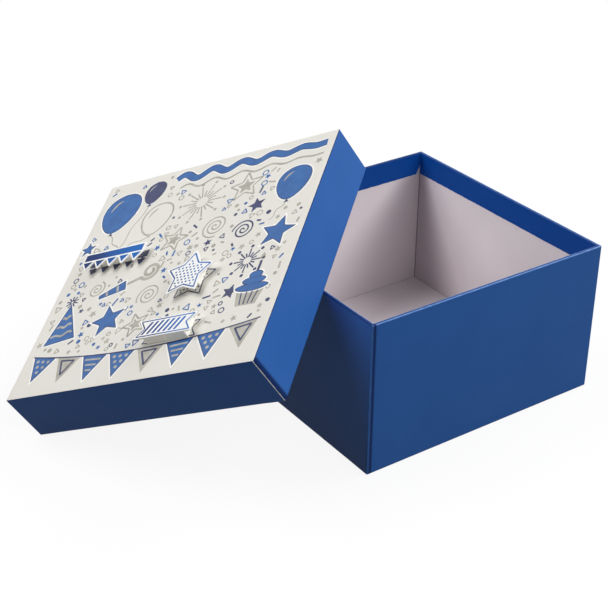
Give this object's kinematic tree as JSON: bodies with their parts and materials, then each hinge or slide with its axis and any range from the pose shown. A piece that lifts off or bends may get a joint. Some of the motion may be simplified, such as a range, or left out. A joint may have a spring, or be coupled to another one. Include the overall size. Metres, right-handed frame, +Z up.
{
  "type": "gift box",
  "caption": "Square paper-wrapped board gift box with its lift-off lid leaning on the open base; the printed lid top carries raised card tags on foam pads.",
  "frame": {"origin": "middle of the base's underside, on the surface that it stands on", "axes": "+Z up out of the base's opening, +X along the base's front wall to the right, +Y to its back wall"},
  "size_m": [0.331, 0.2547, 0.1652],
  "materials": {
    "board": "matte",
    "stay_tape": "matte",
    "blue_wrap": "satin",
    "bottom_sheet": "satin",
    "top_sheet": "satin",
    "tag_card": "satin",
    "foam": "matte"
  },
  "bodies": {
    "base": {"base_floor_board": "board", "base_front_board": "board", "base_back_board": "board", "base_left_board": "board", "base_right_board": "board", "base_corner_stay_front_left": "stay_tape", "base_corner_stay_front_right": "stay_tape", "base_corner_stay_back_left": "stay_tape", "base_corner_stay_back_right": "stay_tape", "base_wrap": "blue_wrap", "base_bottom_sheet": "bottom_sheet"},
    "lid": {"lid_top_board": "board", "lid_front_board": "board", "lid_back_board": "board", "lid_left_board": "board", "lid_right_board": "board", "lid_corner_stay_front_left": "stay_tape", "lid_corner_stay_front_right": "stay_tape", "lid_corner_stay_back_left": "stay_tape", "lid_corner_stay_back_right": "stay_tape", "lid_wrap": "blue_wrap", "lid_top_sheet": "top_sheet", "tag_bunting": "tag_card", "tag_star": "tag_card", "tag_ribbon": "tag_card", "tag_bunting_pad_left": "foam", "tag_bunting_pad_right": "foam", "tag_star_pad_left": "foam", "tag_star_pad_right": "foam", "tag_ribbon_pad_left": "foam", "tag_ribbon_pad_right": "foam"}
  },
  "joints": [
    {"name": "lid_lift", "type": "slide", "parent": "base", "child": "lid", "axis": [0, 0, 1], "range_m": [0, 0.15]}
  ]
}
